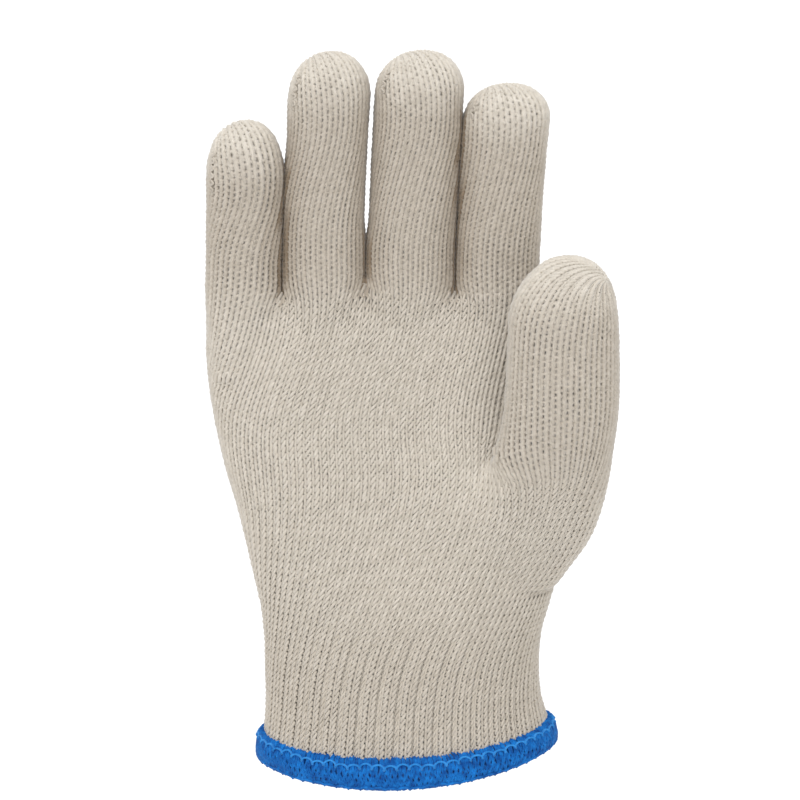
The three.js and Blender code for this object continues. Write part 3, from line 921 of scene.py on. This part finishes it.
def sweep(line, out, following, radius):
    """Round yarn along lines of points: (vertices, quads, uvs). following is each point's next, or -1."""
    points = len(line)
    previous = np.full(points, -1)
    has_next = following >= 0
    previous[following[has_next]] = np.flatnonzero(has_next)
    own = np.arange(points)
    ahead = np.where(following < 0, own, following)
    behind = np.where(previous < 0, own, previous)
    tangent = unit(line[ahead] - line[behind])
    normal = unit(out - tangent * (out * tangent).sum(axis=1, keepdims=True))
    side = np.cross(tangent, normal)
    sides = YARN_SIDES
    vertices = np.empty((points, sides, 3))
    for j in range(sides):
        angle = 2 * np.pi * j / sides
        vertices[:, j] = line + radius[:, None] * (math.cos(angle) * normal + math.sin(angle) * side)
    a = np.flatnonzero(has_next)
    b = following[a]
    quads = []
    uvs = []
    along = (a % 4096) * 0.25
    for j in range(sides):
        k = (j + 1) % sides
        quads.append(np.stack([a * sides + j, a * sides + k, b * sides + k, b * sides + j], axis=1))
        u = np.stack([along, along, along + 0.25, along + 0.25], axis=1)
        v = np.tile(np.array([j, j + 1, j + 1, j]) / sides, (len(a), 1))
        uvs.append(np.stack([u, v], axis=2))
    return vertices.reshape(-1, 3), np.vstack(quads), np.concatenate(uvs)


def compact(vertices, quads):
    """Only the vertices that the quads use."""
    used, index = np.unique(quads, return_inverse=True)
    return vertices[used], index.reshape(quads.shape)


def add_object(name, data):
    thing = bpy.data.objects.new(name, data)
    bpy.context.collection.objects.link(thing)
    return thing


def add_mesh(name, parts):
    """One object of several (vertices, quads, uvs, material) parts.

    A fourth number of a vertex says how much painted shade darkens the yarn there, from 0 to 1.
    """
    vertices = np.vstack([np.pad(part[0], ((0, 0), (0, 4 - part[0].shape[1]))) for part in parts])
    painted_shading = vertices[:, 3]
    vertices = vertices[:, :3]
    offsets = np.cumsum([0] + [len(part[0]) for part in parts])
    quads = np.vstack([part[1] + offset for part, offset in zip(parts, offsets)])
    uvs = np.concatenate([part[2] for part in parts]).reshape(-1, 2)
    finish = np.concatenate([np.full(len(part[1]), i) for i, part in enumerate(parts)])
    mesh = bpy.data.meshes.new(name)
    mesh.vertices.add(len(vertices))
    mesh.vertices.foreach_set("co", (vertices / 1000).astype(np.float32).ravel())
    mesh.loops.add(quads.size)
    mesh.loops.foreach_set("vertex_index", quads.astype(np.int32).ravel())
    mesh.polygons.add(len(quads))
    mesh.polygons.foreach_set("loop_start", np.arange(0, quads.size, 4, dtype=np.int32))
    for part in parts:
        mesh.materials.append(part[3])
    mesh.polygons.foreach_set("material_index", finish.astype(np.int32))
    layer = mesh.uv_layers.new(name="UVMap")
    layer.data.foreach_set("uv", uvs.astype(np.float32).ravel())
    dullness = mesh.attributes.new(name="dullness", type="FLOAT", domain="POINT")
    dullness.data.foreach_set("value", painted_shading.astype(np.float32))
    mesh.update()
    mesh.validate()
    mesh.shade_smooth()
    return add_object(name, mesh)


def colour(hue):
    return (*hue, 1.0)


# What the yarn's colour is multiplied by where the painted shade is deepest. The uneven colour of yarn, in
# waves to a metre, its fibres, also in waves to a metre, and their height in metres
PAINTED_SHADE_TINT = (0.4, 0.33, 0.26)
BLOTCHES = 420
FIBRES = 2600
FIBRE_HEIGHT = 0.0002


def new_material(name, roughness, specular):
    """A new material and its shader."""
    material = bpy.data.materials.new(name)
    material.use_nodes = True
    shader = material.node_tree.nodes["Principled BSDF"]
    shader.inputs["Roughness"].default_value = roughness
    shader.inputs["Specular IOR Level"].default_value = specular
    return material, shader


def add_node(material, kind, **inputs):
    """A new node of a material, with its inputs set."""
    node = material.node_tree.nodes.new(kind)
    for name, value in inputs.items():
        node.inputs[name].default_value = value
    return node


def give_hue(material, hue):
    """Gives the material its hue, darkened and browned where painted shade lies."""
    links = material.node_tree.links
    dullness = add_node(material, "ShaderNodeAttribute")
    dullness.attribute_name = "dullness"
    shade_mix = add_node(material, "ShaderNodeMix")
    shade_mix.data_type = "RGBA"
    shade_mix.blend_type = "MULTIPLY"
    upper, lower = [socket for socket in shade_mix.inputs if socket.type == "RGBA"]
    result = [socket for socket in shade_mix.outputs if socket.type == "RGBA"][0]
    lower.default_value = colour(PAINTED_SHADE_TINT)
    links.new(dullness.outputs["Fac"], shade_mix.inputs[0])
    links.new(hue, upper)
    links.new(result, material.node_tree.nodes["Principled BSDF"].inputs["Base Color"])


def yarn_material(name, hue, light, roughness, sheen, bump):
    """Matt spun yarn: uneven colour, twisted and fibrous."""
    material, shader = new_material(name, roughness, specular=0.2)
    shader.inputs["Sheen Weight"].default_value = sheen
    shader.inputs["Sheen Roughness"].default_value = 0.5
    links = material.node_tree.links
    place = add_node(material, "ShaderNodeTexCoord")
    blotch = add_node(material, "ShaderNodeTexNoise", Scale=BLOTCHES, Detail=4, Roughness=0.65)
    links.new(place.outputs["Object"], blotch.inputs["Vector"])
    ramp = add_node(material, "ShaderNodeValToRGB")
    for element, position, end in zip(ramp.color_ramp.elements, (0.3, 0.7), (hue, light)):
        element.position = position
        element.color = colour(end)
    links.new(blotch.outputs["Fac"], ramp.inputs["Fac"])
    give_hue(material, ramp.outputs["Color"])
    fibres = add_node(material, "ShaderNodeTexNoise", Scale=FIBRES, Detail=3)
    links.new(place.outputs["Object"], fibres.inputs["Vector"])
    relief = add_node(material, "ShaderNodeBump", Strength=bump, Distance=FIBRE_HEIGHT)
    links.new(fibres.outputs["Fac"], relief.inputs["Height"])
    links.new(relief.outputs["Normal"], shader.inputs["Normal"])
    return material


def plain_material(name, hue, roughness=0.9):
    material, shader = new_material(name, roughness, specular=0.1)
    shader.inputs["Base Color"].default_value = colour(hue)
    return material


COTTON_DARK = (0.58, 0.53, 0.455)
COTTON_LIGHT = (0.71, 0.66, 0.585)
COTTON_INSIDE = (0.52, 0.47, 0.4)
BLUE_DARK = (0.0005, 0.045, 0.23)
BLUE_LIGHT = (0.008, 0.2, 0.62)
LOOPER_DARK = (0.006, 0.15, 0.48)
LOOPER_LIGHT = (0.04, 0.29, 0.72)
BLUE_INSIDE = (0.003, 0.06, 0.24)
cotton = yarn_material("cotton_yarn", COTTON_DARK, COTTON_LIGHT, roughness=0.95, sheen=0.45, bump=0.5)
blue = yarn_material("blue_yarn", BLUE_DARK, BLUE_LIGHT, roughness=0.9, sheen=0.06, bump=0.8)
blue_looper = yarn_material("blue_looper", LOOPER_DARK, LOOPER_LIGHT, roughness=0.9, sheen=0.08, bump=0.8)
blue_inside = plain_material("blue_inside", BLUE_INSIDE)
# The sheet behind the yarn is painted shade in the holes: its hue, COTTON_INSIDE, is darker than the yarn's,
# and it carries the same painted shade
cotton_inside = plain_material("cotton_inside", COTTON_INSIDE)
inside_hue = cotton_inside.node_tree.nodes.new("ShaderNodeRGB")
inside_hue.outputs["Color"].default_value = colour(COTTON_INSIDE)
give_hue(cotton_inside, inside_hue.outputs["Color"])


def piece_of_ring():
    """Which piece each course belongs to. Pieces meet at the part's own seams."""
    names = []
    for r, part in enumerate(rings.part):
        height = lattice.p[lattice.start[r]:lattice.start[r + 1], 2].mean()
        if part == "body":
            names.append("cuff_knit" if r < CUFF_COURSES else "palm_lower_knit")
        elif part == "palm":
            names.append("palm_upper_knit")
        elif part == "thumb":
            names.append("thumb_knit" if height > THUMB_ROOT + THUMB_SEAM else "palm_upper_knit")
        else:
            names.append(part + "_knit" if height > KNUCKLE_LINE + FINGER_SEAM else "palm_upper_knit")
    return np.array(names)


ring_piece = piece_of_ring()
stitch_piece = ring_piece[lattice.ring]
line, out = yarn_path(lattice, normals)
stitch_count = len(lattice.p)
following = np.arange(stitch_count * YARN_SAMPLES) + 1
last_sample = np.arange(stitch_count) * YARN_SAMPLES + YARN_SAMPLES - 1
following[last_sample] = lattice.right * YARN_SAMPLES
slub = random.normal(0, 1, stitch_count * YARN_SAMPLES)
slub = np.convolve(slub, np.ones(SLUB_SAMPLES) / math.sqrt(SLUB_SAMPLES), mode="same")
wale_width = np.linalg.norm(lattice.p[lattice.right] - lattice.p[lattice.left], axis=1) / 2
at_tip = tipness(lattice.p)
hollow = in_hollow(lattice.p)
thickness = np.clip(YARN_PER_WALE * wale_width, YARN_THINNEST, YARN_RADIUS)
thickness *= 1 + SIDE_THICKER * (1 - facing) + TIP_THICKER * at_tip + HOLLOW_THICKER * hollow
thickness = np.repeat(thickness, YARN_SAMPLES)
radius = thickness * (1 + SLUB * np.clip(slub, -SLUB_LIMIT, SLUB_LIMIT))
yarn = sweep(line.reshape(-1, 3), out.reshape(-1, 3), following, radius)
yarn_owner = np.tile(np.repeat(stitch_piece, YARN_SAMPLES), YARN_SIDES)
painted_shading = painted_shade_at(lattice.p)
yarn_vertices = np.column_stack([yarn[0], np.repeat(painted_shading, YARN_SAMPLES * YARN_SIDES)])

# The sheet behind the yarn: a quad for each stitch, the closed tips and the webs between the fingers
below_fingers = 1 - smoothstep(lattice.p[:, 2], *LINING_LOW_FADE)
lining_depth = LINING_DEPTH * (LINING_SIDE + LINING_FACING * facing + LINING_LOW * facing * below_fingers)
lining_depth *= 1 - LINING_TIP * (at_tip + hollow)
inner = np.column_stack([lattice.p - normals * lining_depth[:, None], painted_shading])
own = np.arange(stitch_count)
has_below = (lattice.below >= 0) & (lattice.below[lattice.right] >= 0)
base = own[has_below]
beside = lattice.right[base]
lining = np.stack([lattice.below[base], lattice.below[beside], beside, base], axis=1)
closing = own[lattice.seam]
beside = lattice.right[closing]
across = np.stack([closing, beside, lattice.above[beside], lattice.above[closing]], axis=1)
knuckles = max(r for r, part in enumerate(rings.part) if part == "palm")
on_knuckles = {key: lattice.start[knuckles] + i for i, key in enumerate(rings.needles[knuckles])}
webs = []
for needle, x in finger_gaps():
    corners = [(needle - 1, 0), (needle, 0), (needle, 1), (needle - 1, 1)]
    webs.append([on_knuckles[corner] for corner in corners])
webs = np.array(webs)
lining = np.vstack([lining, across, webs])
lining_owner = stitch_piece[np.concatenate([base, closing, webs[:, 0]])]

# Darning at the left of each fingertip: from and to which depth below its top, and its zigzag yarn
CLOSINGS = {
    "little_finger": (10.0, 23.0),
    "ring_finger": (6.5, 18.0),
    "middle_finger": (5.5, 14.0),
    "index_finger": (5.0, 11.0),
}
CLOSING_SAMPLES = 72
CLOSING_TURN = math.radians(36)
CLOSING_SWING = 0.75
CLOSING_PITCH = 2.3
CLOSING_LIFT = 0.95
CLOSING_YARN = 0.42
# How much painted shade darkens the darning yarn
CLOSING_PAINTED_SHADE = 0.3


def tip_closing(finger, start, finish):
    """Darning yarn at the left of a fingertip, where its knit was closed."""
    t = np.linspace(0, 1, CLOSING_SAMPLES)
    z = finger.top - start - (finish - start) * t
    x, y, a, b = finger_section(finger, z)
    p = settle(np.stack([x - a * math.cos(CLOSING_TURN), y - b * math.sin(CLOSING_TURN), z], axis=1), 8)
    out = form_distance(p)[1]
    across = np.cross(out, unit(np.gradient(p, axis=0)))
    swing = CLOSING_SWING * np.sin(2 * np.pi * t * (finish - start) / CLOSING_PITCH)
    p = p + across * swing[:, None] + out * CLOSING_LIFT
    following = np.arange(CLOSING_SAMPLES) + 1
    following[-1] = -1
    taper = CLOSING_YARN * np.clip(8 * np.minimum(t, 1 - t), 0.1, 1)
    vertices, quads, uvs = sweep(p, out, following, taper)
    return np.column_stack([vertices, np.full(len(vertices), CLOSING_PAINTED_SHADE)]), quads, uvs, cotton


tip_closings = {finger.name + "_knit": tip_closing(finger, *CLOSINGS[finger.name]) for finger in ROW}
STANDS_FOR = {tube + "_knit": tube for tube in TUBES}
STANDS_FOR |= {"palm_lower_knit": "palm", "palm_upper_knit": "palm", "cuff_knit": "cuff"}
for name, node in STANDS_FOR.items():
    mine = yarn_owner == name
    vertices, quads = compact(yarn_vertices, yarn[1][mine])
    lining_vertices, lining_quads = compact(inner, lining[lining_owner == name])
    flat = np.zeros((len(lining_quads), 4, 2))
    parts = [(vertices, quads, yarn[2][mine], cotton), (lining_vertices, lining_quads, flat, cotton_inside)]
    if name in tip_closings:
        parts.append(tip_closings[name])
    piece = add_mesh(name, parts)
    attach(piece, "root")
    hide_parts(node)


# The hem: a core round the cuff's raw edge, wrapped in overlock yarn
HEM_CORE = 0.84
HEM_PITCH = 1.75
HEM_WOBBLE = 0.12
HEM_SWELL = 0.1
RAGGEDNESS = 0.18
RAGGED_FROM = 0.6 * HEM_HEIGHT
LOOPER_PITCH = 3.9
LOOPER_BOW = 0.22
LOOPER_WOBBLE = 0.25
# phase, slant, scale and yarn radius of each layer of wraps
HEM_WRAPS = [
    (0.0, 1.5, 0.97, 0.54),
    (0.5, -1.3, 0.96, 0.54),
    (0.25, 0.6, 0.98, 0.46),
    (0.75, -0.5, 0.98, 0.46),
]
# height, rise, how far out, and yarn radius of the looper's yarn and of the one at the hem's foot
LOOPER_YARN = (7.7, 0.65, 0.45, 0.42)
FOOT_YARN = (0.9, 0.5, 0.1, 0.5)


def hem_outline(samples=720):
    """Turn at equal steps round the wrist, as shares of the way, and the length of the way."""
    turn = np.linspace(0, 2 * np.pi, samples + 1)
    a, b = cuff_section(np.array([HEM_HEIGHT / 2]))[1:]
    return turn, *shares_along(np.stack([a[0] * np.cos(turn), b[0] * np.sin(turn)], axis=1))


HEM_TURN, HEM_SHARE, HEM_ROUND = hem_outline()


def hem_point(share, outward, height):
    """A point of the hem: how far round, how far out of the fabric's middle, and its height."""
    turn = np.interp(np.mod(share, 1.0), HEM_SHARE, HEM_TURN)
    x, a, b = cuff_section(height)
    p = np.stack([
        x + (a - WALL / 2 + outward) * np.cos(turn),
        (b - WALL / 2 + outward) * np.sin(turn),
        height,
    ], axis=1)
    return hang(p)


def hem_ring(around, scale):
    """How far out and up the hem's skin is: around goes 0 to 1 from the top, down outside, and up inside."""
    outside = HEM_PROFILE[::-1] * (HEM_THICKNESS, HEM_HEIGHT)
    inside = HEM_PROFILE * (-HEM_THICKNESS, HEM_HEIGHT)
    profile = np.vstack([outside, inside, outside[:1]])
    rows = np.linspace(0, 1, 200)
    keys = np.linspace(0, 1, len(profile))
    x = np.interp(rows, keys, profile[:, 0])
    y = np.interp(rows, keys, profile[:, 1])
    at = shares_along(np.stack([x, y], axis=1))[0]
    around = np.mod(around, 1.0)
    px = np.interp(around, at, x) * scale
    py = (np.interp(around, at, y) - HEM_HEIGHT / 2) * scale + HEM_HEIGHT / 2
    return px, py


def hem_core():
    """A plain band inside the wraps."""
    steps = 180
    sides = 16
    i, j = np.meshgrid(np.arange(steps), np.arange(sides), indexing="ij")
    px, py = hem_ring(j.ravel() / sides, HEM_CORE)
    vertices = hem_point(i.ravel() / steps, px, py)
    a = (i * sides + j).ravel()
    b = (i * sides + (j + 1) % sides).ravel()
    c = ((i + 1) % steps * sides + (j + 1) % sides).ravel()
    d = ((i + 1) % steps * sides + j).ravel()
    quads = np.stack([a, d, c, b], axis=1)
    return vertices, quads, np.zeros((len(quads), 4, 2)), blue_inside


def hem_yarn(share, outward, height, radius, material):
    """A closed yarn through points given as in hem_point, swept about the hem's core."""
    points = hem_point(share, outward, height)
    core = hem_point(share, np.zeros(len(share)), np.full(len(share), HEM_HEIGHT / 2))
    following = (np.arange(len(points)) + 1) % len(points)
    vertices, quads, uvs = sweep(points, unit(points - core), following, radius)
    return vertices, quads, uvs, material


def hem_wraps(phase, slant, scale, radius, count, material):
    """Yarn wound round the edge, once for each stitch of the machine."""
    samples = 18
    total = count * samples
    t = np.arange(total) / samples
    around = np.mod(t, 1.0)
    lean = slant * np.cos(2 * np.pi * around) * HEM_PITCH / HEM_ROUND
    wobble = np.interp(t, np.arange(count + 1), random.normal(0, 1, count + 1))
    share = (t + phase) / count + lean + HEM_WOBBLE * wobble / count
    px, py = hem_ring(around, scale)
    py = py + RAGGEDNESS * wobble * smoothstep(py, RAGGED_FROM, HEM_HEIGHT)
    swell = random.normal(0, 1, total)
    swell = np.convolve(swell, np.ones(5) / 2.2, mode="same")
    return hem_yarn(share, px, py, radius * (1 + HEM_SWELL * np.clip(swell, -2, 2)), material)


def hem_zigzag(height, rise, outward, radius, material):
    """A yarn that runs up and down along the outside."""
    count = int(round(HEM_ROUND / LOOPER_PITCH))
    samples = 12
    t = np.arange(count * samples) / samples
    wobble = np.interp(t, np.arange(count + 1), random.normal(0, 1, count + 1))
    swing = np.cos(2 * np.pi * t)
    share = (t + LOOPER_BOW * np.sin(2 * np.pi * t)) / count
    py = height + rise * swing + LOOPER_WOBBLE * wobble
    px = np.interp(py / HEM_HEIGHT, HEM_PROFILE[:, 1], HEM_PROFILE[:, 0]) * HEM_THICKNESS + outward
    return hem_yarn(share, px, py, np.full(len(t), radius), material)


wrap_count = int(round(HEM_ROUND / HEM_PITCH))
hem_parts = [hem_core()]
hem_parts += [hem_wraps(*layer, wrap_count, blue) for layer in HEM_WRAPS]
hem_parts += [hem_zigzag(*LOOPER_YARN, blue_looper), hem_zigzag(*FOOT_YARN, blue)]
hem = add_mesh("hem_overlock", hem_parts)
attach(hem, "root")
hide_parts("hem")

# Floor, light and camera, in metres
FLOOR_DROP = 0.35
FLOOR_REACH = 60.0
FLOOR_HUE = (0.93, 0.93, 0.93)
WORLD_LIGHT = 0.54
LIT_POINT = (0, 0, 0.1)
LENS = 124.6
SENSOR_WIDTH = 36
CAMERA_PLACE = (-0.00065, -0.8863, 0.2761)
CAMERA_TILT = math.radians(80)

floor_mesh = bpy.data.meshes.new("floor")
corners = [(FLOOR_REACH * x, FLOOR_REACH * y, 0) for x, y in ((-1, -1), (1, -1), (1, 1), (-1, 1))]
floor_mesh.from_pydata(corners, [], [(0, 1, 2, 3)])
floor_mesh.materials.append(plain_material("floor_pale", FLOOR_HUE, 1.0))
floor = add_object("floor", floor_mesh)
floor.location = (0, 0, -FLOOR_DROP)

scene = bpy.context.scene
scene.view_settings.view_transform = "Standard"
world = bpy.data.worlds.new("studio")
world.use_nodes = True
world.node_tree.nodes["Background"].inputs["Color"].default_value = (1.0, 1.0, 1.0, 1.0)
world.node_tree.nodes["Background"].inputs["Strength"].default_value = WORLD_LIGHT
scene.world = world


def add_sun(name, energy, spread, place):
    """A sun that shines from place towards the glove. Its spread is in degrees."""
    data = bpy.data.lights.new(name, "SUN")
    data.energy = energy
    data.angle = math.radians(spread)
    sun = add_object(name, data)
    sun.location = place
    direction = np.array(LIT_POINT) - np.array(sun.location)
    tilt = math.atan2(math.hypot(direction[0], direction[1]), -direction[2])
    heading = math.atan2(direction[1], direction[0]) - math.pi / 2
    sun.rotation_euler = (tilt, 0, heading)


add_sun("key", 2.12, 75, (-0.22, -1.0, 1.45))
add_sun("fill", 1.1, 110, (0.25, 1.0, 0.75))

camera_data = bpy.data.cameras.new("camera")
camera_data.lens = LENS
camera_data.sensor_width = SENSOR_WIDTH
camera = add_object("camera", camera_data)
camera.location = CAMERA_PLACE
camera.rotation_euler = (CAMERA_TILT, 0, 0)
scene.camera = camera
